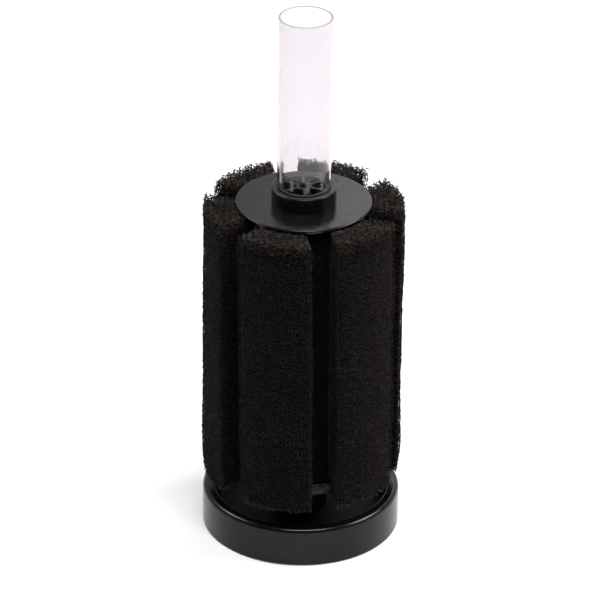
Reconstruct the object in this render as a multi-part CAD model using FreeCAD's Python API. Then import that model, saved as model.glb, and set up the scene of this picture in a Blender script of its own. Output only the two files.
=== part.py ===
"""Air-lift sponge filter for an aquarium, as it comes apart on a bench.

A weighted round base carries a hollow post. A slotted core stands on the post between two
identical flanges, and a six-lobed foam sponge slides over the core. The upper flange holds the
clear uplift tube and, inside it, a six-spoke insert with the air inlet in its hub. A thin pipe
takes the air from the hub down to a drilled jet near the bottom of the core.

Millimetres, +Z up. The origin is the middle of the underside, on the surface it stands on.
"""

import FreeCAD, Part
import math
import os

# ---------------------------------------------------------------- driving dimensions
# Uplift tube: a cut length of clear 25 mm tube.
TUBE_OD = 25.0
TUBE_WALL = 1.0
TUBE_LENGTH = 100.0
TUBE_EDGE = 0.15

# Flanges: the same moulding is used above and below the sponge.
DISC_OD = 63.2
DISC_THICKNESS = 2.0
COLLAR_WALL = 2.45
COLLAR_HEIGHT = 7.3
SPIGOT_DEPTH = 8.0
LEDGE_THICKNESS = 2.0
LEDGE_WIDTH = 1.65
MOUTH_CHAMFER = 0.15

# Slotted core.
CORE_WALL = 2.45
WINDOW_WIDTH = 6.0
WINDOW_HEIGHT = 25.5
WINDOW_RIB = 4.0
WINDOW_COLUMNS = 6
CORE_END_LAND = 10.0

# Sponge.
SPONGE_OD = 93.0
SPONGE_GRIP_HEIGHT = 135.4
PLATE_SINK = 2.6
PLATE_GAP = 0.3
SPONGE_BORE_GAP = 0.3
SPONGE_TOP_GAP = 0.2
FOAM_WALL = 8.2
LOBES = 6
SLOT_WIDTH = 11.6
SLOT_FLOOR_ROUND = 1.5
LOBE_EDGE_ROUND = 0.8
FIRST_SLOT_ANGLE = -78.0

# Spoked insert in the foot of the uplift tube.
SPIDER_GAP = 0.15
SPIDER_WALL = 1.35
SPIDER_SPOKES = 6
SPOKE_WIDTH = 1.3
SPOKE_DEPTH = 2.5
SPIDER_PROUD = 0.3
FIRST_SPOKE_ANGLE = -87.0
HUB_OD = 7.5
HUB_LENGTH = 10.0
AIR_SOCKET_D = 4.8
AIR_SOCKET_DEPTH = 8.0
AIR_BORE = 3.0
NIPPLE_OD = 5.0
NIPPLE_LENGTH = 8.0
PIPE_WALL = 1.0

# Air jet on the lower end of the air pipe.
JET_OD = 11.0
JET_LENGTH = 10.0
JET_WALL = 1.5
JET_SPIGOT_LENGTH = 6.0
JET_BORE = 2.6
JET_HOLE = 1.0
JET_HOLES = 8
JET_ROWS = 2
JET_CLEARANCE = 4.0

# Weighted base.
BASE_OD = 93.0
BASE_HEIGHT = 19.4
RIM_WIDTH = 5.6
RIM_OUTER_ROUND = 2.4
RIM_INNER_ROUND = 1.2
RECESS_DRAFT = 0.8
FLOOR_HEIGHT = 8.0
FLOOR_THICKNESS = 2.0
SKIRT_WALL = 3.0
SPONGE_SEAT_HEIGHT = 30.8
POST_WALL = 2.2

# Bottom cover, ballast, gasket and screw.
COVER_THICKNESS = 2.2
COVER_PROUD = 0.6
COVER_GAP = 0.1
COVER_CHAMFER = 0.5
GASKET_THICKNESS = 0.8
GASKET_WIDTH = 2.0
BALLAST_GAP = 0.3
BOSS_OD = 9.0
SCREW_D = 3.0
SCREW_HEAD_D = 5.6
SCREW_HEAD_HEIGHT = 1.5
SCREW_LENGTH = 6.6
SCREW_SLOT_WIDTH = 0.8
SCREW_SLOT_DEPTH = 0.7

# Fits and small edges.
SLIP_GAP = 0.05
SMALL_ROUND = 0.5
ENTRY_CHAMFER = 0.4

# ---------------------------------------------------------------- sizes that follow
TUBE_R = TUBE_OD / 2
TUBE_BORE_R = TUBE_R - TUBE_WALL
SOCKET_R = TUBE_R + SLIP_GAP
COLLAR_R = SOCKET_R + COLLAR_WALL
THROAT_R = SOCKET_R - LEDGE_WIDTH
DISC_R = DISC_OD / 2

CORE_BORE_R = COLLAR_R + SLIP_GAP
CORE_R = CORE_BORE_R + CORE_WALL
SPONGE_R = SPONGE_OD / 2
SPONGE_BORE_R = CORE_R + SPONGE_BORE_GAP
SLOT_FLOOR_R = SPONGE_BORE_R + FOAM_WALL

SEAT_Z = SPONGE_SEAT_HEIGHT
UPPER_DISC_Z = SEAT_Z + SPONGE_GRIP_HEIGHT
SPONGE_FOOT_Z = SEAT_Z - PLATE_SINK
POST_TOP_Z = SEAT_Z + SPIGOT_DEPTH - LEDGE_THICKNESS
TUBE_FOOT_Z = UPPER_DISC_Z - SPIGOT_DEPTH + LEDGE_THICKNESS
COLLAR_TOP_Z = UPPER_DISC_Z + DISC_THICKNESS + COLLAR_HEIGHT

SPIDER_R = TUBE_BORE_R - SPIDER_GAP
SPIDER_BORE_R = SPIDER_R - SPIDER_WALL
SPIDER_TOP_Z = COLLAR_TOP_Z + SPIDER_PROUD
SPIDER_SKIRT_Z = TUBE_FOOT_Z - LEDGE_THICKNESS
HUB_FOOT_Z = SPIDER_TOP_Z - HUB_LENGTH
NIPPLE_FOOT_Z = HUB_FOOT_Z - NIPPLE_LENGTH
PIPE_R = NIPPLE_OD / 2 + PIPE_WALL
JET_FOOT_Z = SEAT_Z + SPIGOT_DEPTH + JET_CLEARANCE
JET_TOP_Z = JET_FOOT_Z + JET_LENGTH

BASE_R = BASE_OD / 2
RECESS_R = BASE_R - RIM_WIDTH
CAVITY_TOP_Z = FLOOR_HEIGHT - FLOOR_THICKNESS
POST_R = TUBE_R
COVER_R = BASE_R - SKIRT_WALL - COVER_GAP
POCKET_R = COVER_R + COVER_GAP - GASKET_WIDTH
GASKET_TOP_Z = COVER_THICKNESS + GASKET_THICKNESS
BALLAST_R = POCKET_R - BALLAST_GAP
SCREW_FOOT_R = SCREW_D / 2

UP = FreeCAD.Vector(0, 0, 1)


# ---------------------------------------------------------------- small helpers
def cylinder(radius, low, high):
    """A solid cylinder on the Z axis."""
    return Part.makeCylinder(radius, high - low, FreeCAD.Vector(0, 0, low))


def sleeve(inner, outer, low, high):
    """A plain tube on the Z axis."""
    return cylinder(outer, low, high).cut(cylinder(inner, low, high))


def around(shape, count, start=0.0):
    """Copies of a shape, equally spaced about the Z axis."""
    copies = []
    for index in range(count):
        turned = shape.copy()
        turned.rotate(FreeCAD.Vector(), UP, start + index * 360.0 / count)
        copies.append(turned)
    return copies


def ring_edges(shape, radius, z):
    """The circular edges of a shape at one radius and height."""
    found = []
    for edge in shape.Edges:
        curve = edge.Curve
        if not isinstance(curve, Part.Circle):
            continue
        if abs(curve.Radius - radius) < 1e-4 and abs(curve.Center.z - z) < 1e-4:
            found.append(edge)
    return found


def upright_edges(shape, near):
    """The straight vertical edges whose distance from the Z axis passes a test."""
    found = []
    for edge in shape.Edges:
        if not isinstance(edge.Curve, Part.Line):
            continue
        first, last = edge.Vertexes[0].Point, edge.Vertexes[-1].Point
        if abs(first.x - last.x) < 1e-4 and abs(first.y - last.y) < 1e-4:
            if near(math.hypot(first.x, first.y)):
                found.append(edge)
    return found


def single(shape):
    """The one solid that a shape is made of, with its seams merged."""
    merged = shape.removeSplitter()
    if len(merged.Solids) != 1:
        raise ValueError(f"expected one solid, found {len(merged.Solids)}")
    return merged.Solids[0]


# ---------------------------------------------------------------- the pieces
def make_flange(face_z, way):
    """A disc with a tube socket through it.

    face_z is the face against the sponge. way is 1 with the collar upwards and -1 downwards.
    """
    disc = cylinder(DISC_R, 0, DISC_THICKNESS)
    rims = ring_edges(disc, DISC_R, 0) + ring_edges(disc, DISC_R, DISC_THICKNESS)
    disc = disc.makeFillet(min(0.8, 0.45 * DISC_THICKNESS), rims)
    collar_top = DISC_THICKNESS + COLLAR_HEIGHT
    barrel = cylinder(COLLAR_R, -SPIGOT_DEPTH, collar_top)
    body = disc.fuse(barrel).removeSplitter()
    body = body.makeFillet(SMALL_ROUND, ring_edges(body, COLLAR_R, collar_top))
    body = body.makeChamfer(ENTRY_CHAMFER, ring_edges(body, COLLAR_R, -SPIGOT_DEPTH))
    body = body.cut(cylinder(SOCKET_R, LEDGE_THICKNESS - SPIGOT_DEPTH, collar_top))
    body = body.cut(cylinder(THROAT_R, -SPIGOT_DEPTH, collar_top))
    body = body.makeChamfer(MOUTH_CHAMFER, ring_edges(body, SOCKET_R, collar_top))
    flange = single(body)
    if way < 0:
        flange.rotate(FreeCAD.Vector(), FreeCAD.Vector(1, 0, 0), 180)
    flange.translate(FreeCAD.Vector(0, 0, face_z))
    return flange


def make_core():
    """The slotted tube that the sponge slides over, with rows of windows for the water."""
    core = sleeve(CORE_BORE_R, CORE_R, SEAT_Z, UPPER_DISC_Z)
    pitch = WINDOW_HEIGHT + WINDOW_RIB
    clear = SPONGE_GRIP_HEIGHT - 2 * CORE_END_LAND
    rows = int((clear + WINDOW_RIB) // pitch)
    first = SEAT_Z + (SPONGE_GRIP_HEIGHT - rows * pitch + WINDOW_RIB) / 2
    windows = []
    for row in range(rows):
        window = Part.makeBox(
            CORE_WALL + CORE_R,
            WINDOW_WIDTH,
            WINDOW_HEIGHT,
            FreeCAD.Vector(CORE_BORE_R - CORE_WALL, -WINDOW_WIDTH / 2, first + row * pitch),
        )
        along = [e for e in window.Edges if abs(e.tangentAt(e.FirstParameter).x) > 0.99]
        window = window.makeFillet(0.25 * min(WINDOW_WIDTH, WINDOW_HEIGHT), along)
        windows += around(window, WINDOW_COLUMNS, 180.0 / WINDOW_COLUMNS)
    return single(core.cut(windows))


def make_sponge():
    """The foam cylinder, slotted between its lobes, with the lower disc pressed into its foot."""
    top = UPPER_DISC_Z - SPONGE_TOP_GAP
    foam = sleeve(SPONGE_BORE_R, SPONGE_R, SPONGE_FOOT_Z, top)
    cutter = Part.makeBox(
        SPONGE_R,
        SLOT_WIDTH,
        top - SPONGE_FOOT_Z,
        FreeCAD.Vector(SLOT_FLOOR_R, -SLOT_WIDTH / 2, SPONGE_FOOT_Z),
    )
    inner_r = math.hypot(SLOT_FLOOR_R, SLOT_WIDTH / 2)
    inner = upright_edges(cutter, lambda r: abs(r - inner_r) < 1e-3)
    cutter = cutter.makeFillet(SLOT_FLOOR_ROUND, inner)
    foam = foam.cut(around(cutter, LOBES, FIRST_SLOT_ANGLE))
    mouths = upright_edges(foam, lambda r: abs(r - SPONGE_R) < 1e-3)
    foam = foam.makeFillet(LOBE_EDGE_ROUND, mouths)
    return single(foam.cut(cylinder(DISC_R + PLATE_GAP, SPONGE_FOOT_Z, SEAT_Z)))


def make_spider():
    """The spoked insert: a sleeve inside the tube's foot, six spokes and the air inlet."""
    insert = sleeve(SPIDER_BORE_R, SPIDER_R, TUBE_FOOT_Z, SPIDER_TOP_Z)
    skirt = sleeve(SPIDER_BORE_R, THROAT_R - SLIP_GAP, SPIDER_SKIRT_Z, TUBE_FOOT_Z)
    hub = cylinder(HUB_OD / 2, HUB_FOOT_Z, SPIDER_TOP_Z)
    nipple = cylinder(NIPPLE_OD / 2, NIPPLE_FOOT_Z, HUB_FOOT_Z)
    nipple = nipple.makeChamfer(ENTRY_CHAMFER, ring_edges(nipple, NIPPLE_OD / 2, NIPPLE_FOOT_Z))
    spoke = Part.makeBox(
        SPIDER_BORE_R + SPIDER_WALL / 2,
        SPOKE_WIDTH,
        SPOKE_DEPTH,
        FreeCAD.Vector(0, -SPOKE_WIDTH / 2, SPIDER_TOP_Z - SPOKE_DEPTH),
    )
    spokes = around(spoke, SPIDER_SPOKES, FIRST_SPOKE_ANGLE)
    insert = insert.fuse([skirt, hub, nipple] + spokes)
    insert = insert.cut(cylinder(AIR_BORE / 2, NIPPLE_FOOT_Z, SPIDER_TOP_Z))
    insert = insert.cut(cylinder(AIR_SOCKET_D / 2, SPIDER_TOP_Z - AIR_SOCKET_DEPTH, SPIDER_TOP_Z))
    return single(insert)


def make_jet():
    """The drilled nozzle that lets the air out in fine bubbles."""
    body = cylinder(JET_OD / 2, JET_FOOT_Z, JET_TOP_Z)
    ends = ring_edges(body, JET_OD / 2, JET_FOOT_Z) + ring_edges(body, JET_OD / 2, JET_TOP_Z)
    body = body.makeChamfer(ENTRY_CHAMFER * 2, ends)
    spigot = cylinder(NIPPLE_OD / 2, JET_TOP_Z, JET_TOP_Z + JET_SPIGOT_LENGTH)
    jet = body.fuse(spigot)
    room = cylinder(JET_OD / 2 - JET_WALL, JET_FOOT_Z + JET_WALL, JET_TOP_Z - JET_WALL)
    jet = jet.cut(room)
    jet = jet.cut(cylinder(JET_BORE / 2, JET_TOP_Z - JET_WALL, JET_TOP_Z + JET_SPIGOT_LENGTH))
    step = (JET_LENGTH - 2 * JET_WALL) / (JET_ROWS + 1)
    for row in range(JET_ROWS):
        z = JET_FOOT_Z + JET_WALL + (row + 1) * step
        hole = Part.makeCylinder(
            JET_HOLE / 2, JET_OD / 2, FreeCAD.Vector(0, 0, z), FreeCAD.Vector(1, 0, 0)
        )
        jet = jet.cut(around(hole, JET_HOLES, row * 180.0 / JET_HOLES))
    return single(jet)


def make_uplift_tube():
    """The clear tube that the bubbles and the water rise in."""
    top = TUBE_FOOT_Z + TUBE_LENGTH
    tube = sleeve(TUBE_BORE_R, TUBE_R, TUBE_FOOT_Z, top)
    rims = [edge for radius in (TUBE_BORE_R, TUBE_R) for edge in ring_edges(tube, radius, top)]
    return single(tube.makeChamfer(TUBE_EDGE, rims))


def make_base_shell():
    """The dished base: skirt, rounded rim, recess, hollow post and a pocket underneath."""
    shell = cylinder(BASE_R, COVER_PROUD, BASE_HEIGHT)
    depth = BASE_HEIGHT - FLOOR_HEIGHT
    recess = Part.makeCone(
        RECESS_R - RECESS_DRAFT, RECESS_R, depth, FreeCAD.Vector(0, 0, FLOOR_HEIGHT)
    )
    shell = shell.cut(recess)
    shell = shell.makeFillet(RIM_OUTER_ROUND, ring_edges(shell, BASE_R, BASE_HEIGHT))
    shell = shell.makeFillet(RIM_INNER_ROUND, ring_edges(shell, RECESS_R, BASE_HEIGHT))
    post = cylinder(POST_R, CAVITY_TOP_Z, POST_TOP_Z)
    post = post.makeChamfer(ENTRY_CHAMFER, ring_edges(post, POST_R, POST_TOP_Z))
    shell = shell.fuse(post)
    shell = shell.cut(cylinder(POST_R - POST_WALL, FLOOR_HEIGHT, POST_TOP_Z))
    shell = shell.cut(cylinder(BASE_R - SKIRT_WALL, COVER_PROUD, GASKET_TOP_Z))
    shell = shell.cut(cylinder(POCKET_R, GASKET_TOP_Z, CAVITY_TOP_Z))
    shell = shell.fuse(cylinder(BOSS_OD / 2, COVER_THICKNESS, CAVITY_TOP_Z + SMALL_ROUND))
    shell = shell.cut(cylinder(SCREW_FOOT_R, COVER_THICKNESS, SCREW_LENGTH))
    return single(shell)


def make_cover():
    """The flat bottom cover, which the filter stands on."""
    cover = cylinder(COVER_R, 0, COVER_THICKNESS)
    cover = cover.makeChamfer(COVER_CHAMFER, ring_edges(cover, COVER_R, 0))
    cover = cover.cut(cylinder(SCREW_FOOT_R, 0, COVER_THICKNESS))
    return single(cover.cut(screw_head()))


def screw_head():
    """The countersunk head, from the cover's underside up."""
    return Part.makeCone(SCREW_HEAD_D / 2, SCREW_FOOT_R, SCREW_HEAD_HEIGHT)


def make_screw():
    """A countersunk screw with a plain slot."""
    screw = screw_head().fuse(cylinder(SCREW_FOOT_R, SCREW_HEAD_HEIGHT, SCREW_LENGTH))
    slot = Part.makeBox(
        SCREW_HEAD_D,
        SCREW_SLOT_WIDTH,
        SCREW_SLOT_DEPTH,
        FreeCAD.Vector(-SCREW_HEAD_D / 2, -SCREW_SLOT_WIDTH / 2, 0),
    )
    return single(screw.cut(slot))


def make_parts():
    """Every piece, by the name of its node."""
    hub_r = BOSS_OD / 2 + BALLAST_GAP
    return {
        "base_shell": make_base_shell(),
        "base_cover": make_cover(),
        "cover_screw": make_screw(),
        "cover_gasket": single(sleeve(POCKET_R, COVER_R, COVER_THICKNESS, GASKET_TOP_Z)),
        "ballast_disc": single(sleeve(hub_r, BALLAST_R, COVER_THICKNESS, CAVITY_TOP_Z)),
        "lower_flange": make_flange(SEAT_Z, -1),
        "strainer_core": make_core(),
        "sponge": make_sponge(),
        "top_flange": make_flange(UPPER_DISC_Z, 1),
        "air_spider": make_spider(),
        "air_pipe": single(sleeve(NIPPLE_OD / 2, PIPE_R, JET_TOP_Z, HUB_FOOT_Z)),
        "air_jet": make_jet(),
        "uplift_tube": make_uplift_tube(),
    }


def main():
    """Writes one STEP file for each piece."""
    os.makedirs("parts", exist_ok=True)
    for name, shape in make_parts().items():
        if not shape.isValid():
            raise ValueError(f"{name} is not a valid solid")
        shape.exportStep(f"parts/{name}.step")
        print(f"{name:14s} {shape.Volume / 1000.0:8.3f} cm3")


main()
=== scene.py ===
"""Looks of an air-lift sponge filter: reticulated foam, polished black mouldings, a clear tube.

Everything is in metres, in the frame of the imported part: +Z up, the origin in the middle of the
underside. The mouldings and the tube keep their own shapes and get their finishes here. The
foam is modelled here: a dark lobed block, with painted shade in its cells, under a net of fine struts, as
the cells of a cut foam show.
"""

import logging
import math
from dataclasses import dataclass, field
from enum import Enum

import bmesh
import bpy
import numpy as np
from mathutils import Matrix, Vector
from mathutils.geometry import delaunay_2d_cdt


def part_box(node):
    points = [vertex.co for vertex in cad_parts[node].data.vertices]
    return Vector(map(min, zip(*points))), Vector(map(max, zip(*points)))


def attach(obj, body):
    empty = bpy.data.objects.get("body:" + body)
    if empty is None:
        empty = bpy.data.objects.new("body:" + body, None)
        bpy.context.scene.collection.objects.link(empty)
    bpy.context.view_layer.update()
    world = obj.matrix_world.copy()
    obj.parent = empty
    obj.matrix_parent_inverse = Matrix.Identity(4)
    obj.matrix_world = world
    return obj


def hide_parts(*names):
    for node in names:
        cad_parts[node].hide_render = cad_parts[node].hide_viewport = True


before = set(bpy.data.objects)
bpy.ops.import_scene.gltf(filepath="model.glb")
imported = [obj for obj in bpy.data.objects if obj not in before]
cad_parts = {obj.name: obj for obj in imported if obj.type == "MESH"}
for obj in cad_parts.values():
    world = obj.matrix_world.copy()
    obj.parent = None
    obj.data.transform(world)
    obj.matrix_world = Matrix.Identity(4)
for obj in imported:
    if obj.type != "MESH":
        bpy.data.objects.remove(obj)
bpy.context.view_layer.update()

LOG = logging.getLogger("sponge_filter")
MM = 0.001
Colour = tuple[float, float, float]
Socket = bpy.types.NodeSocket


# ---------------------------------------------------------------- finishes
class Grain(Enum):
    """How coarse the faint surface texture of a moulding is, as noise scale per metre."""

    POLISHED = 260.0
    SPARKED = 2400.0
    CAST = 900.0


@dataclass
class NodeTree:
    """A small helper that adds and links shader nodes in one material."""

    material: bpy.types.Material

    @classmethod
    def start(cls, name: str) -> "NodeTree":
        """Makes a new material and returns its tree."""
        material = bpy.data.materials.new(name)
        material.use_nodes = True
        return cls(material)

    def feed(self, entry: str, value: object) -> None:
        """Gives one input of the material's shader a constant or a link.

        Args:
            entry: the input's name.
            value: a number, a linear RGB colour or another node's output.
        """
        target = self.material.node_tree.nodes["Principled BSDF"].inputs[entry]
        if isinstance(value, Socket):
            self.link(value, target)
        else:
            target.default_value = (*value, 1.0) if isinstance(value, tuple) else value

    def add(self, kind: str, **settings: object) -> bpy.types.Node:
        """Adds a node.

        Args:
            kind: the node's type name.
            **settings: attributes to set on it.

        Returns:
            The new node.
        """
        node = self.material.node_tree.nodes.new(kind)
        for name, value in settings.items():
            setattr(node, name, value)
        return node

    def link(self, source: Socket, target: Socket) -> None:
        """Joins an output to an input."""
        self.material.node_tree.links.new(source, target)

    def coordinates(self) -> Socket:
        """Returns the Object coordinates of the piece."""
        return self.add("ShaderNodeTexCoord").outputs["Object"]

    def noise(self, scale: float, detail: float = 3.0) -> bpy.types.Node:
        """Adds a noise texture on Object coordinates.

        Args:
            scale: features per metre.
            detail: octaves of finer noise.

        Returns:
            The noise node.
        """
        node = self.add("ShaderNodeTexNoise")
        node.inputs["Scale"].default_value = scale
        node.inputs["Detail"].default_value = detail
        self.link(self.coordinates(), node.inputs["Vector"])
        return node

    def spread(self, source: Socket, low: float, high: float, out: tuple[float, float]) -> Socket:
        """Maps a range of values onto another.

        Args:
            source: the value to map.
            low: the value that becomes the first of out.
            high: the value that becomes the second of out.
            out: the two results.

        Returns:
            The mapped value.
        """
        node = self.add("ShaderNodeMapRange")
        node.inputs["From Min"].default_value = low
        node.inputs["From Max"].default_value = high
        node.inputs["To Min"].default_value = out[0]
        node.inputs["To Max"].default_value = out[1]
        self.link(source, node.inputs["Value"])
        return node.outputs["Result"]

    def blend(self, factor: Socket, first: Colour | Socket, second: Colour | Socket) -> Socket:
        """Mixes two colours.

        Args:
            factor: 0 for the first colour, 1 for the second.
            first: linear RGB, or another node's output.
            second: linear RGB, or another node's output.

        Returns:
            The mixed colour.
        """
        node = self.add("ShaderNodeMix", data_type="RGBA")
        for entry, colour in (("A", first), ("B", second)):
            if isinstance(colour, tuple):
                node.inputs[entry].default_value = (*colour, 1.0)
            else:
                self.link(colour, node.inputs[entry])
        self.link(factor, node.inputs["Factor"])
        return node.outputs["Result"]

    def times(self, first: Socket, second: Socket) -> Socket:
        """Returns the product of two values."""
        return self._joined("MULTIPLY", first, second)

    def plus(self, first: Socket, second: Socket) -> Socket:
        """Returns the sum of two values."""
        return self._joined("ADD", first, second)

    def _joined(self, how: str, first: Socket, second: Socket) -> Socket:
        """Returns two values joined by one operation."""
        node = self.add("ShaderNodeMath", operation=how)
        self.link(first, node.inputs[0])
        self.link(second, node.inputs[1])
        return node.outputs["Value"]

    def within(self, low: float, high: float) -> Socket:
        """Marks a band of heights.

        Args:
            low: the height where it starts.
            high: the height where it ends.

        Returns:
            1 in the band and 0 away from it, with a soft step.
        """
        split = self.add("ShaderNodeSeparateXYZ")
        self.link(self.coordinates(), split.inputs["Vector"])
        step = 0.02 * MM
        above = self.spread(split.outputs["Z"], low - step, low + step, (0.0, 1.0))
        below = self.spread(split.outputs["Z"], high - step, high + step, (1.0, 0.0))
        return self.times(above, below)

    def nearer(self, reach: float) -> Socket:
        """Marks what lies near the Z axis.

        Args:
            reach: the radius where it ends.

        Returns:
            1 inside and 0 outside, with a soft step.
        """
        flat = self.add("ShaderNodeVectorMath", operation="MULTIPLY")
        self.link(self.coordinates(), flat.inputs[0])
        flat.inputs[1].default_value = (1.0, 1.0, 0.0)
        length = self.add("ShaderNodeVectorMath", operation="LENGTH")
        self.link(flat.outputs["Vector"], length.inputs[0])
        step = 0.2 * MM
        return self.spread(length.outputs["Value"], reach - step, reach, (1.0, 0.0))

    def bump(self, height: Socket, strength: float, distance: float) -> Socket:
        """Turns a height into a normal.

        Args:
            height: the height, 0 to 1.
            strength: how much of the bump shows.
            distance: the relief in metres.

        Returns:
            The bumped normal.
        """
        node = self.add("ShaderNodeBump")
        node.inputs["Strength"].default_value = strength
        node.inputs["Distance"].default_value = distance
        self.link(height, node.inputs["Height"])
        return node.outputs["Normal"]


@dataclass(frozen=True)
class Moulding:
    """Black injection-moulded plastic with a faint texture and rub marks, and on some pieces a band of
    painted light.
    """

    name: str
    colour: Colour = (0.0024, 0.0024, 0.0026)
    rubbed: Colour = (0.0055, 0.0055, 0.006)
    gloss: tuple[float, float] = (0.12, 0.27)
    grain: Grain = Grain.POLISHED
    relief: float = 0.02 * MM
    specular: float = 0.32
    metallic: float = 0.0
    matt_zone: tuple[float, float, float] | None = None
    matting: float = 0.42
    # A band of heights can get a paler colour: painted light, standing in for light that falls on that
    # face.
    painted_light_zone: tuple[float, float] | None = None
    painted_light_colour: Colour = (0.075, 0.072, 0.07)

    def build(self) -> bpy.types.Material:
        """Returns the finish as a material."""
        tree = NodeTree.start(self.name)
        tree.feed("Metallic", self.metallic)
        tree.feed("Specular IOR Level", self.specular)
        handling = tree.noise(38.0, 4.0).outputs["Fac"]
        worn = tree.spread(handling, 0.42, 0.68, (0.0, 1.0))
        colour = tree.blend(worn, self.colour, self.rubbed)
        scuffs = tree.noise(310.0, 6.0).outputs["Fac"]
        rough = tree.spread(scuffs, 0.3, 0.75, self.gloss)
        if self.matt_zone:
            reach, low, high = self.matt_zone
            zone = tree.times(tree.within(low, high), tree.nearer(reach))
            rough = tree.plus(rough, tree.spread(zone, 0.0, 1.0, (0.0, self.matting)))
        # Painted light: the band is blended towards a pale grey, broken up by the scuff noise.
        if self.painted_light_zone:
            painted_light_mask = tree.times(tree.within(*self.painted_light_zone), tree.spread(scuffs, 0.2, 0.6, (0.3, 1.0)))
            colour = tree.blend(painted_light_mask, colour, self.painted_light_colour)
        tree.feed("Base Color", colour)
        tree.feed("Roughness", rough)
        texture = tree.noise(self.grain.value, 2.0).outputs["Fac"]
        tree.feed("Normal", tree.bump(texture, 0.35, self.relief))
        return tree.material


@dataclass(frozen=True)
class ClearPlastic:
    """Clear extruded acrylic with a trace of lavender, faint haze, and a frosted sawn end."""

    name: str
    sawn_from: float
    tint: Colour = (0.908, 0.908, 0.912)
    end: Colour = (0.33, 0.32, 0.36)
    bulk: Colour = (0.90, 0.88, 0.905)
    density: float = 1100.0
    haze: tuple[float, float] = (0.02, 0.05)
    frost: float = 0.5
    end_clarity: float = 0.15
    index: float = 1.47

    def build(self) -> bpy.types.Material:
        """Returns the finish as a material."""
        tree = NodeTree.start(self.name)
        tree.feed("IOR", self.index)
        sawn = tree.within(self.sawn_from, self.sawn_from + MM)
        tree.feed("Base Color", tree.blend(sawn, self.tint, self.end))
        tree.feed("Transmission Weight", tree.spread(sawn, 0.0, 1.0, (1.0, self.end_clarity)))
        streaks = tree.noise(90.0, 4.0).outputs["Fac"]
        haze = tree.spread(streaks, 0.3, 0.75, self.haze)
        frosted = tree.spread(sawn, 0.0, 1.0, (0.0, self.frost))
        tree.feed("Roughness", tree.plus(haze, frosted))
        inside = tree.add("ShaderNodeVolumeAbsorption")
        inside.inputs["Color"].default_value = (*self.bulk, 1.0)
        inside.inputs["Density"].default_value = self.density
        result = tree.material.node_tree.nodes["Material Output"]
        tree.link(inside.outputs["Volume"], result.inputs["Volume"])
        return tree.material


@dataclass(frozen=True)
class FoamFinish:
    """Black reticulated polyurethane: near-black struts with a faint sheen, dusty patches, painted glints
    and, if pitted, painted shade.
    """

    name: str
    strut: Colour = (0.0014, 0.0012, 0.0011)
    # The paler colour of the speckle: dust, and painted glints on the struts.
    dust_and_painted_glint: Colour = (0.0210, 0.0176, 0.0160)
    # The pit colour is painted shade, deep in the cells of a pitted surface.
    painted_pit_shade: Colour = (0.0005, 0.0005, 0.0005)
    roughness: float = 0.75
    specular: float = 0.05
    sheen: float = 0.045
    sheen_spread: float = 0.45
    sheen_tint: Colour = (1.0, 0.9, 0.84)
    cell: float = 1.6 * MM
    pit_depth: float = 0.6 * MM
    pitted_with_painted_shade: bool = False

    @classmethod
    def open_cells(cls) -> "FoamFinish":
        """Returns a lighter copy of the finish for the cut ends: painted light, for the light that falls
        into the open cells.
        """
        return cls("foam ends painted lighter", (0.0060, 0.0051, 0.0046), (0.056, 0.0485, 0.0440))

    def build(self) -> bpy.types.Material:
        """Returns the finish as a material. A pitted one also shows cells in its own surface, with
        painted shade in them.
        """
        tree = NodeTree.start(self.name)
        fixed = {
            "Roughness": self.roughness,
            "Specular IOR Level": self.specular,
            "Sheen Weight": self.sheen,
            "Sheen Roughness": self.sheen_spread,
            "Sheen Tint": self.sheen_tint,
        }
        for entry, value in fixed.items():
            tree.feed(entry, value)
        # The cell-size speckle mixes the foam's own uneven tone with painted glints on the struts; the
        # wider patches are dust.
        grain = tree.spread(tree.noise(0.75 / self.cell, 2.0).outputs["Fac"], 0.38, 0.66, (0.0, 1.0))
        patches = tree.spread(tree.noise(60.0, 6.0).outputs["Fac"], 0.3, 0.75, (0.55, 1.25))
        colour = tree.blend(tree.times(grain, patches), self.strut, self.dust_and_painted_glint)
        if self.pitted_with_painted_shade:
            # Painted shade: the middles of the cells are darkened towards the pit colour, as shade deep
            # in the foam.
            cells = tree.add("ShaderNodeTexVoronoi", feature="DISTANCE_TO_EDGE")
            cells.inputs["Scale"].default_value = 1.0 / self.cell
            tree.link(tree.coordinates(), cells.inputs["Vector"])
            wall = tree.spread(cells.outputs["Distance"], 0.03, 0.15, (0.5, 0.0))
            colour = tree.blend(wall, self.painted_pit_shade, colour)
            tree.feed("Normal", tree.bump(wall, 1.0, self.pit_depth))
        tree.feed("Base Color", colour)
        return tree.material


def put_in_scene(name: str, data: bpy.types.ID) -> bpy.types.Object:
    """Makes an object of a mesh, a light or a camera, and links it into the scene."""
    made = bpy.data.objects.new(name, data)
    bpy.context.scene.collection.objects.link(made)
    return made


def dress(piece: bpy.types.Object, material: bpy.types.Material) -> None:
    """Gives a piece one material.

    Args:
        piece: a mesh object.
        material: what it gets, in every slot.
    """
    if not piece.material_slots:
        piece.data.materials.append(material)
    for slot in piece.material_slots:
        slot.material = material


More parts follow.
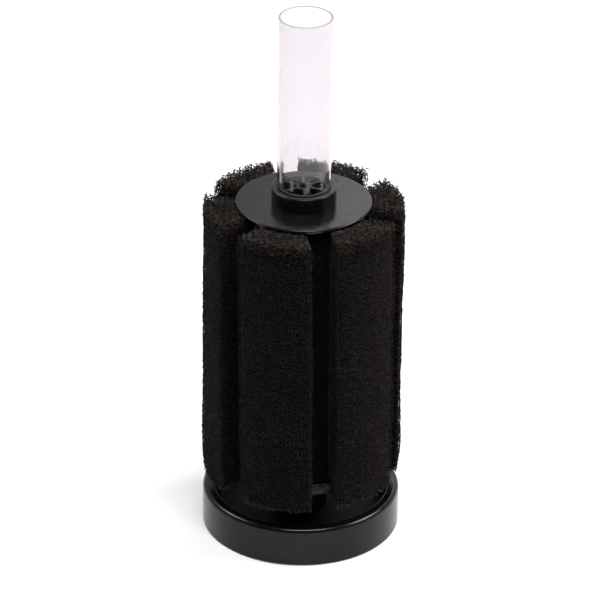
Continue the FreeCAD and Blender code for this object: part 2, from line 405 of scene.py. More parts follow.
# ---------------------------------------------------------------- foam
@dataclass
class LobedSection:
    """The sponge's cross-section: a circle with straight slots, as one closed line."""

    radius: float
    lobes: int = 6
    slot_width: float = 11.6 * MM
    slot_floor: float = 26.0 * MM
    first_slot: float = -78.0
    corner: float = 0.65 * MM
    step: float = 0.1 * MM
    points: np.ndarray = field(init=False)
    normals: np.ndarray = field(init=False)
    length: float = field(init=False)
    deeper: dict[int, "LobedSection"] = field(default_factory=dict)

    def __post_init__(self) -> None:
        """Traces the line, rounds its corners and finds its normals."""
        half = self.slot_width / 2
        mouth = math.sqrt(self.radius**2 - half**2)
        turn = math.asin(half / self.radius)
        pieces = []
        for slot in range(self.lobes):
            here = math.radians(self.first_slot + slot * 360.0 / self.lobes)
            there = here + 2 * math.pi / self.lobes
            pieces.append(self._line(here, (self.slot_floor, 0.0), (self.slot_floor, half)))
            pieces.append(self._line(here, (self.slot_floor, half), (mouth, half)))
            count = int(self.radius * (there - here - 2 * turn) / self.step)
            angles = np.linspace(here + turn, there - turn, count, endpoint=False)
            pieces.append(self.radius * np.c_[np.cos(angles), np.sin(angles)])
            pieces.append(self._line(there, (mouth, -half), (self.slot_floor, -half)))
            pieces.append(self._line(there, (self.slot_floor, -half), (self.slot_floor, 0.0)))
        line = np.vstack(pieces)
        gaps = np.linalg.norm(np.roll(line, -1, axis=0) - line, axis=1)
        along = np.r_[0.0, np.cumsum(gaps)]
        self.length = float(along[-1])
        count = int(self.length / self.step)
        even = np.arange(count) * self.length / count
        closed = np.vstack([line, line[:1]])
        line = np.c_[np.interp(even, along, closed[:, 0]), np.interp(even, along, closed[:, 1])]
        self.points = self._rounded(line)
        tangent = np.roll(self.points, -1, axis=0) - np.roll(self.points, 1, axis=0)
        tangent /= np.linalg.norm(tangent, axis=1)[:, None]
        self.normals = np.c_[tangent[:, 1], -tangent[:, 0]]

    def _line(self, angle: float, first: tuple[float, float], last: tuple[float, float]) -> np.ndarray:
        """Points along a straight run, given in a slot's own axes.

        Args:
            angle: the direction of the slot.
            first: where the run starts, outwards and sideways.
            last: where it ends.

        Returns:
            The points, without the last one.
        """
        count = max(2, int(math.dist(first, last) / self.step))
        share = np.linspace(0.0, 1.0, count, endpoint=False)[:, None]
        local = np.array(first) * (1 - share) + np.array(last) * share
        outward = np.array([math.cos(angle), math.sin(angle)])
        sideways = np.array([-math.sin(angle), math.cos(angle)])
        return local[:, :1] * outward + local[:, 1:] * sideways

    def _rounded(self, line: np.ndarray) -> np.ndarray:
        """The line smoothed over the corner size."""
        frequency = np.fft.fftfreq(len(line), self.length / len(line))
        keep = np.exp(-2 * (math.pi * self.corner * frequency) ** 2)[:, None]
        return np.real(np.fft.ifft(np.fft.fft(line, axis=0) * keep, axis=0))

    def at(self, along: np.ndarray) -> tuple[np.ndarray, np.ndarray]:
        """Points and outward normals at distances along the line.

        Args:
            along: distances from the middle of the first slot's floor.

        Returns:
            The points and the normals, each as rows of x and y.
        """
        count = len(self.points)
        place = (along / self.length * count) % count
        low = place.astype(int) % count
        high = (low + 1) % count
        share = (place - np.floor(place))[:, None]
        point = self.points[low] * (1 - share) + self.points[high] * share
        normal = self.normals[low] * (1 - share) + self.normals[high] * share
        return point, normal / np.linalg.norm(normal, axis=1)[:, None]

    def holds(self, points: np.ndarray, inside: float) -> np.ndarray:
        """Which points lie in the foam, at least some distance in from its surface.

        Args:
            points: rows of x and y.
            inside: the least distance from the surface.

        Returns:
            One truth value for each point.
        """
        held = np.hypot(points[:, 0], points[:, 1]) < self.radius - inside
        for slot in range(self.lobes):
            angle = math.radians(self.first_slot + slot * 360.0 / self.lobes)
            outward = points[:, 0] * math.cos(angle) + points[:, 1] * math.sin(angle)
            sideways = points[:, 1] * math.cos(angle) - points[:, 0] * math.sin(angle)
            in_slot = (outward > self.slot_floor - inside) & (
                np.abs(sideways) < self.slot_width / 2 + inside
            )
            held &= ~in_slot
        return held

    def inset(self, depth: float) -> "LobedSection":
        """The section of a surface that lies deeper in the foam.

        Args:
            depth: how much deeper.

        Returns:
            The new section, with softer corners.
        """
        key = round(depth / (0.01 * MM))
        if key not in self.deeper:
            self.deeper[key] = LobedSection(
                self.radius - depth,
                self.lobes,
                self.slot_width + 2 * depth,
                self.slot_floor - depth,
                self.first_slot,
                self.corner + 0.6 * depth,
            )
        return self.deeper[key]


def encloses(outline: np.ndarray, points: np.ndarray) -> np.ndarray:
    """Which points lie inside a closed line, by counting the edges east of each.

    Args:
        outline: rows of x and y of the line's corners, in order.
        points: rows of x and y.

    Returns:
        One truth value for each point.
    """
    after = np.roll(outline, -1, axis=0)
    tall = after[:, 1] - outline[:, 1]
    tall = np.where(tall == 0.0, 1e-12, tall)
    share = (points[:, 1:] - outline[None, :, 1]) / tall
    east = outline[None, :, 0] + share * (after[:, 0] - outline[:, 0])[None, :]
    spans = (outline[None, :, 1] > points[:, 1:]) != (after[None, :, 1] > points[:, 1:])
    return (spans & (east > points[:, :1])).sum(axis=1) % 2 == 1


@dataclass
class StrutMesh:
    """Gathers thin struts and spikes as plain polygons, and makes one mesh of them."""

    corners: list[np.ndarray] = field(default_factory=list)
    places: list[np.ndarray] = field(default_factory=list)
    loops: list[np.ndarray] = field(default_factory=list)
    sizes: list[np.ndarray] = field(default_factory=list)
    count: int = 0

    @staticmethod
    def _rings(start: np.ndarray, end: np.ndarray, radius: np.ndarray) -> list[np.ndarray]:
        """Returns how far the three corners of each strut's end stand off its axis."""
        along = end - start
        along /= np.maximum(np.linalg.norm(along, axis=1), 1e-9)[:, None]
        helper = np.where(np.abs(along[:, 2:]) < 0.8, [[0.0, 0.0, 1.0]], [[1.0, 0.0, 0.0]])
        side = np.cross(along, helper)
        side /= np.linalg.norm(side, axis=1)[:, None]
        up = np.cross(along, side)
        turns = [math.radians(120.0 * k) for k in range(3)]
        return [(side * math.cos(t) + up * math.sin(t)) * radius[:, None] for t in turns]

    def _keep(self, corners: np.ndarray, places: np.ndarray, faces: list[tuple[int, ...]]) -> None:
        """Adds many copies of one small solid.

        Args:
            corners: for each copy its corners, as (copies, corners, 3).
            places: for each copy and corner its place in the unwrapped map.
            faces: the corners of each face, in order.
        """
        copies, each = corners.shape[:2]
        base = self.count + np.arange(copies)[:, None] * each
        order = np.array([c for face in faces for c in face])
        self.corners.append(corners.reshape(-1, 3))
        self.places.append(places.reshape(-1, 2))
        self.loops.append((base + order[None, :]).ravel())
        self.sizes.append(np.tile([len(face) for face in faces], copies))
        self.count += copies * each

    def add_struts(
        self, start: np.ndarray, end: np.ndarray, radius: np.ndarray, place: np.ndarray
    ) -> None:
        """Adds three-sided struts.

        Args:
            start: one end of each, as rows of x, y, z.
            end: the other end.
            radius: the radius of each.
            place: where each lies in the unwrapped map.
        """
        if not len(start):
            return
        ring = self._rings(start, end, radius)
        corners = np.stack([start + r for r in ring] + [end + r for r in ring], axis=1)
        places = np.repeat(place[:, None, :], 6, axis=1)
        faces = [(0, 1, 4, 3), (1, 2, 5, 4), (2, 0, 3, 5), (2, 1, 0), (3, 4, 5)]
        self._keep(corners, places, faces)

    def add_spikes(
        self, foot: np.ndarray, tip: np.ndarray, radius: np.ndarray, place: np.ndarray
    ) -> None:
        """Adds three-sided spikes.

        Args:
            foot: the wide end of each.
            tip: the point of each.
            radius: the radius at the foot.
            place: where each lies in the unwrapped map.
        """
        if not len(foot):
            return
        corners = np.stack([foot + r for r in self._rings(foot, tip, radius)] + [tip], axis=1)
        places = np.repeat(place[:, None, :], 4, axis=1)
        self._keep(corners, places, [(0, 1, 3), (1, 2, 3), (2, 0, 3), (2, 1, 0)])

    def make(self, name: str) -> bpy.types.Object:
        """Makes the mesh, with its unwrapped map.

        Args:
            name: the piece's name.

        Returns:
            The new object, linked into the scene.
        """
        corners, loops = np.vstack(self.corners), np.concatenate(self.loops)
        sizes, places = np.concatenate(self.sizes), np.vstack(self.places)
        mesh = bpy.data.meshes.new(name)
        mesh.vertices.add(len(corners))
        mesh.vertices.foreach_set("co", corners.astype(np.float32).ravel())
        mesh.loops.add(len(loops))
        mesh.loops.foreach_set("vertex_index", loops.astype(np.int32))
        mesh.polygons.add(len(sizes))
        starts = np.r_[0, np.cumsum(sizes)[:-1]]
        mesh.polygons.foreach_set("loop_start", starts.astype(np.int32))
        mesh.update(calc_edges=True)
        unwrapped = mesh.uv_layers.new(name="OFBake")
        unwrapped.uv.foreach_set("vector", places[loops].astype(np.float32).ravel())
        return put_in_scene(name, mesh)


@dataclass(frozen=True)
class Net:
    """The net of struts on the foam's sides. Bare shares are parts of a honeycomb's side."""

    side: float = 1.08 * MM
    strut: float = 0.15 * MM
    strut_range: tuple[float, float] = (0.6, 1.45)
    turned_edges: float = 0.38
    turned_shift: float = 0.42
    jitter: float = 0.24
    easing: float = 0.15
    easing_rounds: int = 3
    depth: float = 0.2 * MM
    depth_spread: float = 0.16 * MM
    root: float = 1.3 * MM
    lean: float = 0.24 * MM
    spiked: float = 0.35
    spike_range_mm: tuple[float, float] = (0.15, 0.6)
    ragged_top_mm: tuple[float, float] = (0.1, 1.8)


@dataclass(frozen=True)
class OpenCells:
    """The open cells on the foam's ends, and the loose threads that stand out of them."""

    pore: float = 2.6 * MM
    jitter: float = 0.1
    strut: float = 0.235 * MM
    strut_range: tuple[float, float] = (0.6, 1.3)
    rim: float = 1.3 * MM
    brink: float = 1.1 * MM
    clear_of_plate: float = 2.2 * MM
    loose: float = 0.62
    stray: float = 0.55
    bend: float = 0.7
    thread_range_mm: tuple[float, float] = (0.35, 0.8)
    tip_range_mm: tuple[float, float] = (0.3, 0.75)


@dataclass
class FoamSleeve:
    """The lobed foam sponge: a dark heart, a net of struts round it, and open cells on its ends."""

    low: float
    seat: float
    high: float
    section: LobedSection
    weave: Net = Net()
    open_cells: OpenCells = OpenCells()
    bore: float = 17.8 * MM
    plate: float = 31.6 * MM
    plate_edge: float = 0.6 * MM
    film: float = 0.05 * MM
    recess: float = 0.85 * MM
    row: float = 1.5 * MM
    column: float = 0.9 * MM
    shoulder: float = 6.0 * MM
    shoulder_draw: float = 0.9 * MM
    brow: float = 4.6 * MM
    open_top: float = 4.2 * MM
    open_foot: float = 2.4 * MM
    tread: float = 0.7 * MM
    fuzz: float = 1.5 * MM
    tuck_height: float = 16.0 * MM
    tuck: float = 0.9 * MM
    thinning: float = 0.45 * MM
    twist: tuple[float, float] = (2.5, 0.3)
    wander: float = 0.28 * MM
    net_from: float = 32.5 * MM
    seed: int = 7

    def __post_init__(self) -> None:
        """Draws the waves of the foam's uneven cut."""
        draw = np.random.default_rng(self.seed)
        self.waves = [
            (int(draw.integers(4, 26)), draw.uniform(20.0, 130.0), draw.uniform(0.0, 2 * math.pi))
            for _ in range(7)
        ]

    def foot(self, height: np.ndarray) -> np.ndarray:
        """How far each height is into the foot, from 0 above it to 1 at its lower end."""
        return np.clip(1.0 - (height - self.low) / self.tuck_height, 0.0, 1.0) ** 2

    def wave(self, share: np.ndarray, height: np.ndarray) -> np.ndarray:
        """The unevenness of the cut.

        Args:
            share: place round the section, 0 to 1.
            height: z of each point.

        Returns:
            How far the surface stands proud there.
        """
        total = np.zeros(len(share))
        for turns, pitch, phase in self.waves:
            total += np.sin(2 * math.pi * turns * share + pitch * height + phase)
        return total * self.wander / math.sqrt(len(self.waves))

    def settle(self, points: np.ndarray) -> np.ndarray:
        """Turns the straight sleeve slightly about its axis and draws its foot in.

        Args:
            points: rows of x, y, z of the straight sleeve.

        Returns:
            The points as they sit.
        """
        up = (points[:, 2] - self.low) / (self.high - self.low)
        angle = np.radians(self.twist[0] * (1 - up) + self.twist[1] * up)
        radius = np.hypot(points[:, 0], points[:, 1])
        free = np.clip((radius - self.plate - MM) / (self.section.radius - self.plate - MM), 0.0, 1.0)
        drawn = 1.0 - self.foot(points[:, 2]) * free * self.tuck / radius
        east = (points[:, 0] * np.cos(angle) - points[:, 1] * np.sin(angle)) * drawn
        north = (points[:, 0] * np.sin(angle) + points[:, 1] * np.cos(angle)) * drawn
        return np.c_[east, north, points[:, 2]]

    def surface(self, along: np.ndarray, height: np.ndarray, depth: np.ndarray) -> np.ndarray:
        """Points of the foam, from their place on the unwrapped outside.

        Args:
            along: distance round the section.
            height: z of each point.
            depth: how far below the surface.

        Returns:
            Rows of x, y, z.
        """
        point, normal = self.section.at(along)
        depth = depth - self.wave(along / self.section.length, height) + self.thinning * self.foot(height)
        return self.settle(np.c_[point - normal * depth[:, None], height])

    def ring(self, columns: int, height: float, depth: float) -> np.ndarray:
        """One closed line round the heart of the foam.

        Args:
            columns: how many points it has.
            height: its z.
            depth: how far below the surface it lies.

        Returns:
            Rows of x, y, z.
        """
        share = np.arange(columns) / columns
        tall = np.full(columns, height)
        depth += float(self.thinning * self.foot(tall[:1])[0])
        inset = self.section.inset(round(depth / (0.05 * MM)) * 0.05 * MM)
        point, normal = inset.at(share * inset.length)
        point = point + normal * self.wave(share, tall)[:, None]
        floor, top = self.sole(np.hypot(*point.T)), self.high - self.open_top
        lowest = self.low + self.tread
        tall = floor + (tall - lowest) * (top - floor) / (top - lowest)
        return self.settle(np.c_[point, tall])

    def sole(self, radius: np.ndarray) -> np.ndarray:
        """The height of the heart's underside: on the lower disc, or outside it near the foot."""
        on_plate = radius < self.plate + self.plate_edge
        return np.where(on_plate, self.seat + self.film, self.low + self.tread)

    def cap(self, body: bmesh.types.BMesh, outer: list, inner: list, rise: float | None) -> None:
        """Closes one end of the heart between its outline and its bore.

        Args:
            body: the mesh that the rings belong to.
            outer: the corners of the outline.
            inner: the corners of the bore.
            rise: how much higher the end is away from its edges, or None for the underside.
        """
        outline = np.array([corner.co for corner in outer])
        around = np.array([corner.co for corner in inner])
        spacing = self.row
        reach = np.arange(-self.section.radius, self.section.radius, spacing)
        grid = np.stack(np.meshgrid(reach, reach), axis=-1).reshape(-1, 2)
        grid += np.random.default_rng(self.seed + 5).uniform(-0.3, 0.3, grid.shape) * spacing
        if rise is None:
            clear = 0.8 * MM
            grid = grid[np.abs(np.hypot(*grid.T) - self.plate - self.plate_edge) > clear]
            turns = np.radians(np.arange(0.0, 360.0, 2.0))[:, None]
            for radius in (self.plate + 0.4 * MM, self.plate + 0.8 * MM):
                grid = np.vstack([grid, radius * np.c_[np.cos(turns), np.sin(turns)]])
        grid = grid[encloses(outline[:, :2], grid) & (np.hypot(*grid.T) > self.bore + spacing)]
        gap = np.min(np.linalg.norm(grid[:, None] - outline[None, :, :2], axis=2), axis=1)
        grid, gap = grid[gap > 0.4 * spacing], gap[gap > 0.4 * spacing]
        climb = np.clip(gap / self.brow, 0.0, 1.0)
        if rise is None:
            tall = self.sole(np.hypot(*grid.T))
        else:
            tall = outline[0, 2] + rise * climb * climb * (3 - 2 * climb)
        added = [body.verts.new((*spot, z)) for spot, z in zip(grid, tall)]
        corners = list(outer) + list(inner) + added
        flat = [Vector(p) for p in (*outline[:, :2], *around[:, :2], *grid)]
        counts = (len(outer), len(inner))
        edges = [(k, (k + 1) % counts[0]) for k in range(counts[0])]
        edges += [(counts[0] + k, counts[0] + (k + 1) % counts[1]) for k in range(counts[1])]
        _, _, faces, _, _, _ = delaunay_2d_cdt(flat, edges, [], 0, 1e-9)
        middles = np.array([[sum(flat[c][axis] for c in face) / 3 for axis in (0, 1)] for face in faces])
        kept = encloses(outline[:, :2], middles) & ~encloses(around[:, :2], middles)
        for face in np.array(faces)[kept]:
            body.faces.new([corners[c] for c in face])

    def block(self) -> bpy.types.Object:
        """Makes the solid heart of the foam, just below the struts.

        Returns:
            The closed block, with a bore for the core.
        """
        floor, top = self.low + self.tread, self.high - self.open_top
        straight = top - self.shoulder - floor
        rows = int(straight / self.row)
        profile = [(self.recess, floor + straight * row / rows) for row in range(rows + 1)]
        for share in (0.35, 0.65, 0.85, 1.0):
            draw_in = self.recess + self.shoulder_draw * share**3
            profile.append((draw_in, top - self.shoulder * (1 - share)))
        columns = self.section.lobes * round(self.section.length / self.section.lobes / self.column)
        body = bmesh.new()
        rings = []
        for depth, height in profile:
            rings.append([body.verts.new(p) for p in self.ring(columns, height, depth)])
        for lower, upper in zip(rings, rings[1:]):
            for k in range(columns):
                after = (k + 1) % columns
                body.faces.new((lower[k], lower[after], upper[after], upper[k]))
        rise = self.open_top - 0.6 * MM
        corners = 96
        turns = [2 * math.pi * k / corners for k in range(corners)]
        holes = []
        for height in (self.seat + self.film, top + rise):
            ring = [(self.bore * math.cos(t), self.bore * math.sin(t), height) for t in turns]
            holes.append([body.verts.new(p) for p in ring])
        for k in range(corners):
            after = (k + 1) % corners
            body.faces.new((holes[0][after], holes[0][k], holes[1][k], holes[1][after]))
        self.cap(body, rings[0], holes[0], None)
        self.cap(body, rings[-1], holes[1], rise)
        bmesh.ops.recalc_face_normals(body, faces=body.faces[:])
        for face in body.faces:
            face.smooth = True
        mesh = bpy.data.meshes.new("foam_block")
        body.to_mesh(mesh)
        body.free()
        self._unwrap(mesh)
        return put_in_scene("foam_block", mesh)

    def _unwrap(self, mesh: bpy.types.Mesh) -> None:
        """Lays the block's sides out round the axis and its ends flat, in one map."""
        unwrapped = mesh.uv_layers.new(name="OFBake")
        span = 2.2 * self.section.radius
        level_enough, end_level = 0.35, 0.87
        for face in mesh.polygons:
            centre = face.center
            base = math.atan2(centre.y, centre.x)
            for loop in face.loop_indices:
                co = mesh.vertices[mesh.loops[loop].vertex_index].co
                if abs(face.normal.z) > level_enough:
                    end = 0.26 if centre.z > (self.low + self.high) / 2 else 0.76
                    place = (end + 0.45 * co.x / span, end_level + 0.24 * co.y / span)
                else:
                    angle = math.atan2(co.y, co.x)
                    angle += 2 * math.pi * round((base - angle) / (2 * math.pi))
                    share = (co.z - self.low) / (self.high - self.low)
                    place = (0.02 + 0.95 * (angle / (2 * math.pi) + 0.5), 0.01 + 0.7 * share)
                unwrapped.uv[loop].vector = place

    def net(self) -> tuple[np.ndarray, np.ndarray, np.ndarray]:
        """Draws an uneven honeycomb on the unwrapped outside of the foam.

        Returns:
            The corners as rows of distance round and height, and the two ends of each edge.
        """
        weave, side = self.weave, self.weave.side
        columns = 2 * round(self.section.length / (math.sqrt(3.0) * side))
        pitch = self.section.length / columns
        rows = int((self.high - self.low) / (1.5 * side)) + 1
        stretch = (self.high - self.low) / (1.5 * side * (rows - 0.5))
        draw = np.random.default_rng(self.seed + 1)
        i, j = np.meshgrid(np.arange(columns), np.arange(rows), indexing="ij")
        raised = (i + j) % 2 == 0
        spots = np.stack([i * pitch, 1.5 * side * j + np.where(raised, 0.25, -0.25) * side], axis=-1)
        number = i * rows + j
        flipped = raised & (draw.random(raised.shape) < weave.turned_edges)
        flipped[:, -1] = False
        over = np.roll(flipped, 1, axis=1)
        over[:, 0] = False
        middle = spots.copy()
        middle[..., 1] = np.where(flipped, spots[..., 1] + 0.5 * side, spots[..., 1])
        middle[..., 1] = np.where(over, spots[..., 1] - 0.5 * side, middle[..., 1])
        shift = weave.turned_shift * side
        middle[..., 0] += np.where(flipped, -shift, 0.0) + np.where(over, shift, 0.0)
        upper = np.roll(number, -1, axis=1)
        lower = np.roll(number, 1, axis=1)
        leaving = np.where(flipped, upper, number)
        arriving = np.roll(np.where(over, lower, number), -1, axis=0)
        standing = raised.copy()
        standing[:, -1] = False
        first = np.r_[leaving.ravel(), number[standing]]
        last = np.r_[arriving.ravel(), upper[standing]]
        spots = middle.reshape(-1, 2) + draw.normal(0.0, weave.jitter * side, (columns * rows, 2))
        for _ in range(weave.easing_rounds):
            gap = spots[last] - spots[first]
            gap[:, 0] -= self.section.length * np.round(gap[:, 0] / self.section.length)
            pull = np.zeros_like(spots)
            for axis in (0, 1):
                pull[:, axis] += np.bincount(first, gap[:, axis], len(spots))
                pull[:, axis] -= np.bincount(last, gap[:, axis], len(spots))
            spots += weave.easing * pull
        spots[:, 1] = self.low + (spots[:, 1] + 0.25 * side) * stretch
        spots[:, 1] = np.clip(spots[:, 1], self.low + 0.1 * MM, self.high - 0.1 * MM)
        return spots, first, last

    def skins(self) -> list[bpy.types.Object]:
        """Makes the net of struts, one piece for each lobe.

        Returns:
            The pieces.
        """
        spots, first, last = self.net()
        draw = np.random.default_rng(self.seed + 2)
        weave = self.weave
        depth = draw.normal(weave.depth, weave.depth_spread, len(spots))
        corners = self.surface(spots[:, 0], spots[:, 1], depth)
        xy, outward = self.section.at(spots[:, 0])
        outward = self.settle(np.c_[xy + outward * MM, spots[:, 1]]) - self.settle(np.c_[xy, spots[:, 1]])
        outward /= MM
        reach = np.hypot(*xy.T)
        lobe = np.floor(spots[:, 0] / self.section.length * self.section.lobes).astype(int)
        lobe = np.clip(lobe, 0, self.section.lobes - 1)
        share = spots[:, 0] / self.section.length
        tall = (spots[:, 1] - self.low) / (self.high - self.low)
        margin = 0.02
        place = margin + (1 - 2 * margin) * np.c_[share, tall]
        thick = weave.strut * draw.uniform(*weave.strut_range, len(first))
        lean = draw.normal(0.0, weave.lean, (len(spots), 3))
        inward = corners - outward * weave.root + lean
        proud = draw.uniform(*weave.spike_range_mm, len(spots))[:, None] * MM
        outer = corners + outward * proud + 1.2 * lean
        spiked = draw.random(len(spots)) < weave.spiked
        width = np.full(len(spots), 0.8 * weave.strut)
        ragged = spots[:, 1] < self.high - draw.uniform(*weave.ragged_top_mm, len(spots)) * MM
        kept = (reach > self.net_from) & ragged
        made = []
        for index in range(self.section.lobes):
            mesh = StrutMesh()
            keep = (lobe[first] == index) & kept[first] & kept[last]
            a, b = first[keep], last[keep]
            mesh.add_struts(corners[a], corners[b], thick[keep], place[a])
            here = (lobe == index) & kept
            mesh.add_spikes(inward[here], corners[here], width[here], place[here])
            here &= spiked
            mesh.add_spikes(corners[here], outer[here], width[here], place[here])
            made.append(mesh.make(f"foam_skin_{index + 1}"))
        return made

    def cells(self, low: float, high: float, inner: float) -> tuple[np.ndarray, ...]:
        """Draws open cells in a slice of the foam, as a jittered packing of fourteen-sided cells.

        Args:
            low: the slice's lower height.
            high: its upper height.
            inner: the least distance from the axis.

        Returns:
            The corners, and the two ends of each edge.
        """
        pore = self.open_cells.pore
        unit = pore / 4
        reach = int(self.section.radius / unit) + 1
        layers = int((high - low) / unit) + 1
        span = np.arange(-reach, reach + 1)
        grid = np.stack(np.meshgrid(span, span, np.arange(layers), indexing="ij"), axis=-1)
        rest = grid % 4
        odd = (rest % 2 == 1).sum(-1) == 1
        corner = odd & ((rest == 0).sum(-1) == 1) & ((rest == 2).sum(-1) == 1)
        draw = np.random.default_rng(self.seed + 3 + layers)
        spots = grid * unit + draw.normal(0.0, self.open_cells.jitter * pore, grid.shape)
        spots[..., 2] += low
        radius = np.hypot(spots[..., 0], spots[..., 1])
        held = self.section.holds(spots.reshape(-1, 3)[:, :2], 0.05 * MM).reshape(corner.shape)
        corner &= held & (radius > inner)
        number = np.full(corner.shape, -1)
        number[corner] = np.arange(corner.sum())
        ends = []
        for step in ((0, 1, 1), (0, 1, -1), (1, 0, 1), (1, 0, -1), (1, 1, 0), (1, -1, 0)):
            other = np.full(corner.shape, -1)
            size = corner.shape
            source = tuple(slice(max(0, s), size[k] + min(0, s)) for k, s in enumerate(step))
            target = tuple(slice(max(0, -s), size[k] + min(0, -s)) for k, s in enumerate(step))
            other[target] = number[source]
            joined = (number >= 0) & (other >= 0)
            ends.append(np.c_[number[joined], other[joined]])
        ends = np.vstack(ends)
        return spots[corner], ends[:, 0], ends[:, 1]

    def open_end(self, name: str, low: float, high: float, inner: float) -> list[bpy.types.Object]:
        """Makes the open cells of one end of the sponge, one piece for each lobe.

        Args:
            name: what the pieces are called.
            low: the lower height of the open cells.
            high: their upper height.
            inner: the least distance from the axis.

        Returns:
            The pieces.
        """
        corners, first, last = self.cells(low, high, inner)
        style = self.open_cells
        draw = np.random.default_rng(self.seed + 4)
        upright = 1.0 if name == "foam_crown" else -1.0
        edge = high if upright > 0 else low
        corners[:, 2] = np.clip(corners[:, 2], low, high)
        under = np.hypot(corners[:, 0], corners[:, 1]) < self.plate + 1.2 * MM
        corners[under, 2] = np.minimum(corners[under, 2], self.high + 0.02 * MM)
        turn = np.degrees(np.arctan2(corners[:, 1], corners[:, 0])) - self.section.first_slot
        lobe = np.floor((turn % 360.0) / (360.0 / self.section.lobes)).astype(int)
        place = 0.5 + corners[:, :2] / (2.2 * self.section.radius)
        thick = style.strut * draw.uniform(*style.strut_range, len(first))
        radius = np.hypot(corners[:, 0], corners[:, 1])
        rim = ~self.section.holds(corners[:, :2], style.rim)
        brink = np.abs(corners[:, 2] - edge) < style.brink
        loose = (rim | brink) & (draw.random(len(corners)) < style.loose)
        loose &= radius > self.plate + style.clear_of_plate
        away = np.c_[corners[:, :2] / radius[:, None] * rim[:, None], upright * brink * 0.8]
        away = away + draw.normal(0.0, style.stray, away.shape)
        away /= np.maximum(np.linalg.norm(away, axis=1), 0.4)[:, None]
        bend = away + draw.normal(0.0, style.bend, away.shape)
        elbow = corners + away * draw.uniform(*style.thread_range_mm, len(corners))[:, None] * MM
        tip = elbow + bend * draw.uniform(*style.tip_range_mm, len(corners))[:, None] * MM
        corners, elbow, tip = self.settle(corners), self.settle(elbow), self.settle(tip)
        fine = np.full(len(corners), 0.75 * style.strut)
        made = []
        for index in range(self.section.lobes):
            keep = (lobe[first] == index) & (lobe[last] == index)
            a, b = first[keep], last[keep]
            mesh = StrutMesh()
            mesh.add_struts(corners[a], corners[b], thick[keep], place[a])
            here = loose & (lobe == index)
            mesh.add_struts(corners[here], elbow[here], fine[here], place[here])
            mesh.add_spikes(elbow[here], tip[here], fine[here], place[here])
            made.append(mesh.make(f"{name}_{index + 1}"))
        return made

    def build(self) -> None:
        """Makes every piece of the sponge, dresses it and sets it on its body."""
        block = self.block()
        dress(block, FoamFinish("foam heart", pitted_with_painted_shade=True).build())
        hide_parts("sponge")
        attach(block, "sponge")
        top = self.high + self.fuzz
        sides = self.skins()
        ends = self.open_end("foam_crown", top - self.open_top - self.fuzz, top, self.plate - 2.5 * MM)
        foot = self.low + self.open_foot
        ends += self.open_end("foam_foot", self.low, foot, self.plate + 0.9 * MM)
        # The cut ends, crown and foot, wear the lighter copy of the foam's colours, which is painted
        # light.
        looks = ((sides, FoamFinish("foam sides").build()), (ends, FoamFinish.open_cells().build()))
        for pieces, finish in looks:
            for piece in pieces:
                dress(piece, finish)
                piece.parent = block
                LOG.info("%s: %d faces", piece.name, len(piece.data.polygons))


# ---------------------------------------------------------------- mouldings and tube
def hard_finishes() -> dict[str, Moulding | ClearPlastic]:
    """Returns the finish of every hard piece, which keeps its own shape."""
    recess = (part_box("base_shell")[1].x - 5.4 * MM, 7.0 * MM, 40.0 * MM)
    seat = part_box("strainer_core")[0].z
    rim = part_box("uplift_tube")[1].z - 0.17 * MM
    satin = Moulding("satin black plastic", gloss=(0.36, 0.55), grain=Grain.SPARKED, relief=0.05 * MM)
    return {
        "top_flange": Moulding("polished black plastic"),
        "base_shell": Moulding(
            "polished base",
            (0.0014, 0.0014, 0.0015),
            (0.0032, 0.0032, 0.0034),
            specular=0.24,
            matt_zone=recess,
        ),
        "air_spider": Moulding(
            "inlet plastic", (0.024, 0.024, 0.027), (0.045, 0.045, 0.05), (0.3, 0.45), specular=0.5
        ),
        # The disc's top face, where it shows at the foot of the slots, gets a band of painted light.
        "lower_flange": Moulding(
            "black disc with painted light", gloss=(0.25, 0.4), painted_light_zone=(seat - 0.4 * MM, seat + MM)
        ),
        "base_cover": satin,
        "strainer_core": satin,
        "air_pipe": satin,
        "air_jet": satin,
        "uplift_tube": ClearPlastic("clear acrylic", rim),
        "cover_screw": Moulding(
            "stainless steel", (0.55, 0.55, 0.56), (0.62, 0.62, 0.63), (0.22, 0.4), metallic=1.0
        ),
        "ballast_disc": Moulding(
            "painted ballast", (0.05, 0.05, 0.052), (0.09, 0.088, 0.085), (0.45, 0.65), Grain.CAST
        ),
        "cover_gasket": Moulding(
            "gasket rubber", (0.018, 0.018, 0.018), (0.03, 0.03, 0.029), (0.6, 0.8), Grain.SPARKED
        ),
    }


def dress_hard_pieces() -> None:
    """Gives every hard piece its finish. Pieces with the same finish share one material."""
    made: dict[str, bpy.types.Material] = {}
    for node, finish in hard_finishes().items():
        if finish.name not in made:
            made[finish.name] = finish.build()
        dress(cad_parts[node], made[finish.name])


# ---------------------------------------------------------------- studio
@dataclass(frozen=True)
class SoftBox:
    """One rectangular light. Its power is in watts and its colour in linear RGB."""

    name: str
    place: tuple[float, float, float]
    size: tuple[float, float]
    power: float
    colour: Colour = (1.0, 1.0, 1.0)

    def hang(self, aim: Vector) -> None:
        """Hangs the light, facing a point."""
        data = bpy.data.lights.new(self.name, "AREA")
        data.shape = "RECTANGLE"
        data.size, data.size_y = self.size
        data.energy = self.power
        data.color = self.colour
        lamp = put_in_scene(self.name, data)
        lamp.location = self.place
        lamp.rotation_euler = (aim - Vector(self.place)).to_track_quat("-Z", "Y").to_euler()


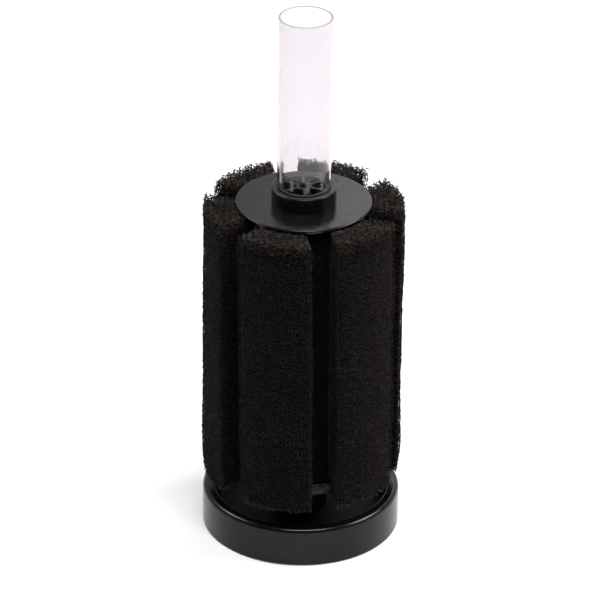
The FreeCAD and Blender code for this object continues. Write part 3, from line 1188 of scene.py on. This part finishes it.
@dataclass
class Studio:
    """A pale floor, soft light from all round, and the camera."""

    aim: Vector = field(default_factory=lambda: Vector((-1.30, 0.0, 116.20)) * MM)
    distance: float = 2.0
    elevation: float = 27.909
    roll: float = 0.644
    lens: float = 258.04
    floor_size: float = 6.0
    sky: tuple[float, float] = (0.10, 0.62)
    bright_side: tuple[float, float, float] = (0.3, 0.95, 0.0)
    floor_tint: Colour = (0.9, 0.9, 0.905)
    floor_glow: float = 0.07
    boxes: tuple[SoftBox, ...] = (
        SoftBox("front box", (0.15, -0.75, 1.65), (1.0, 0.40), 20.0),
        SoftBox("left box", (-1.0, 0.35, 1.15), (0.8, 0.5), 9.0),
        SoftBox("right box", (1.05, 0.1, 1.1), (0.8, 0.5), 17.0, (1.0, 0.92, 0.88)),
        SoftBox("back box", (0.24, 0.62, 0.50), (0.5, 0.4), 0.6),
    )

    def camera(self) -> None:
        """Makes the camera and makes it the scene's own."""
        tilt = math.radians(self.elevation)
        back = Vector((0.0, -math.cos(tilt), math.sin(tilt)))
        data = bpy.data.cameras.new("camera")
        data.lens = self.lens
        data.sensor_width = 36.0
        data.clip_end = 50.0
        camera = put_in_scene("camera", data)
        turned = (-back).to_track_quat("-Z", "Y").to_matrix().to_4x4()
        rolled = Matrix.Rotation(math.radians(self.roll), 4, "Z")
        camera.matrix_world = Matrix.Translation(self.aim + back * self.distance) @ turned @ rolled
        bpy.context.scene.camera = camera

    def floor(self) -> None:
        """Lays the pale floor."""
        bpy.ops.object.select_all(action="DESELECT")
        bpy.ops.mesh.primitive_plane_add(size=self.floor_size)
        floor = bpy.context.active_object
        floor.name = "floor"
        paper = NodeTree.start("pale floor")
        paper.feed("Base Color", self.floor_tint)
        paper.feed("Roughness", 0.9)
        paper.feed("Specular IOR Level", 0.1)
        paper.feed("Emission Color", (1.0, 1.0, 1.0))
        paper.feed("Emission Strength", self.floor_glow)
        dress(floor, paper.material)

    def build(self) -> None:
        """Sets up the world, the floor, the lights and the camera."""
        world = bpy.data.worlds.new("studio")
        world.use_nodes = True
        nodes, links = world.node_tree.nodes, world.node_tree.links
        facing = nodes.new("ShaderNodeVectorMath")
        facing.operation = "DOT_PRODUCT"
        facing.inputs[1].default_value = self.bright_side
        links.new(nodes.new("ShaderNodeTexCoord").outputs["Generated"], facing.inputs[0])
        shade = nodes.new("ShaderNodeMapRange")
        shade.inputs["From Min"].default_value = -0.7
        shade.inputs["From Max"].default_value = 0.8
        shade.inputs["To Min"].default_value, shade.inputs["To Max"].default_value = self.sky
        links.new(facing.outputs["Value"], shade.inputs["Value"])
        links.new(shade.outputs["Result"], nodes["Background"].inputs["Strength"])
        nodes["Background"].inputs["Color"].default_value = (1.0, 1.0, 1.0, 1.0)
        bpy.context.scene.world = world
        bpy.context.scene.view_settings.view_transform = "Standard"
        self.camera()
        self.floor()
        for box in self.boxes:
            box.hang(self.aim)


def main() -> None:
    """Builds and dresses the sponge filter, then the studio round it."""
    logging.basicConfig(level=logging.INFO, format="%(message)s")
    Studio().build()
    dress_hard_pieces()
    low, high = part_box("sponge")
    section = LobedSection(radius=(high.x - low.x) / 2)
    FoamSleeve(low.z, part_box("strainer_core")[0].z, high.z, section).build()


if __name__ == "__main__":
    main()
